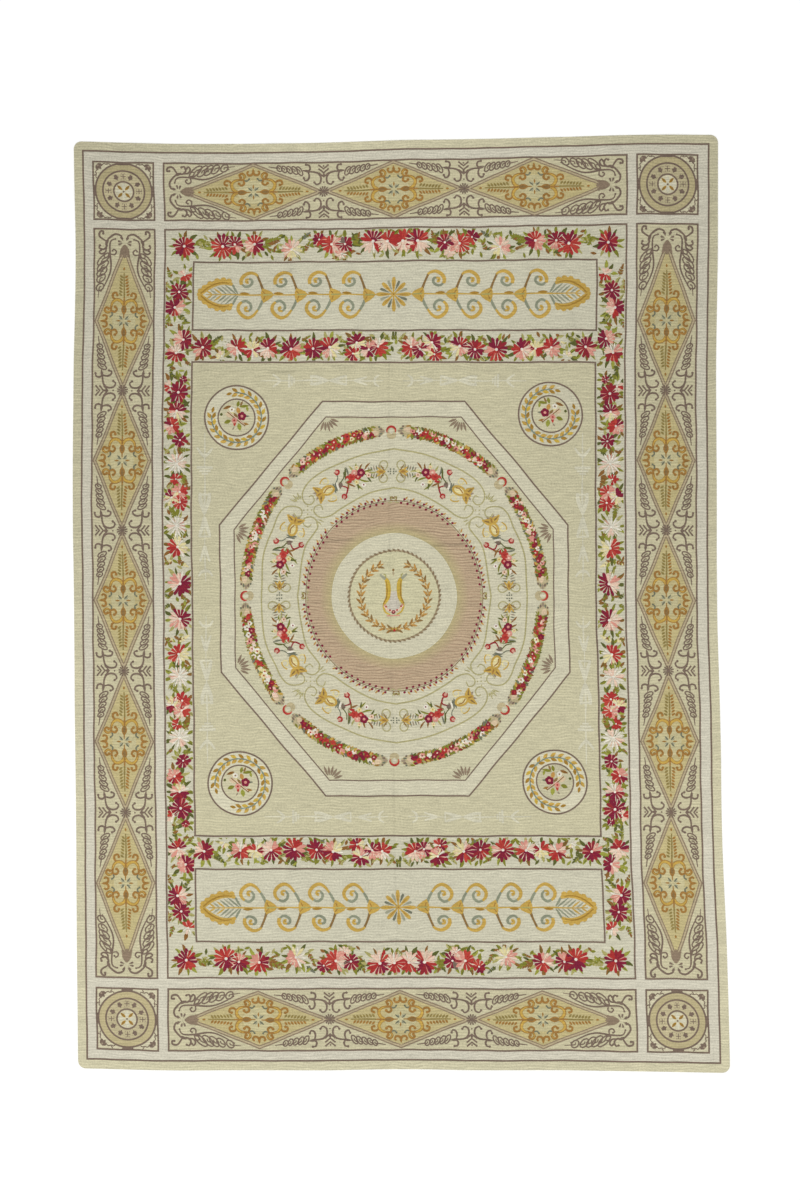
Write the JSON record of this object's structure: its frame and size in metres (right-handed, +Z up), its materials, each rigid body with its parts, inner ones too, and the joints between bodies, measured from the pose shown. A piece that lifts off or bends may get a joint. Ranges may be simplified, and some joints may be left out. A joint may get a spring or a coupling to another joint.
{
  "type": "aubusson rug",
  "caption": "Flat-woven wool tapestry rug with slightly uneven edges and soft storage creases, lying flat: borders of lozenges, flowers and scrolls round an octagonal medallion.",
  "frame": {"origin": "middle of the rug's outline, on the floor that it lies on", "axes": "+X across the rug to the right as the medallion's lyre stands upright, +Y along its long sides towards the top of the design, +Z up out of its face"},
  "size_m": [2.0426, 2.9162, 0.0047],
  "materials": {
    "wool": "flat-woven dyed wool, dry and matt"
  },
  "bodies": {
    "root": {"rug": "wool"}
  },
  "joints": []
}
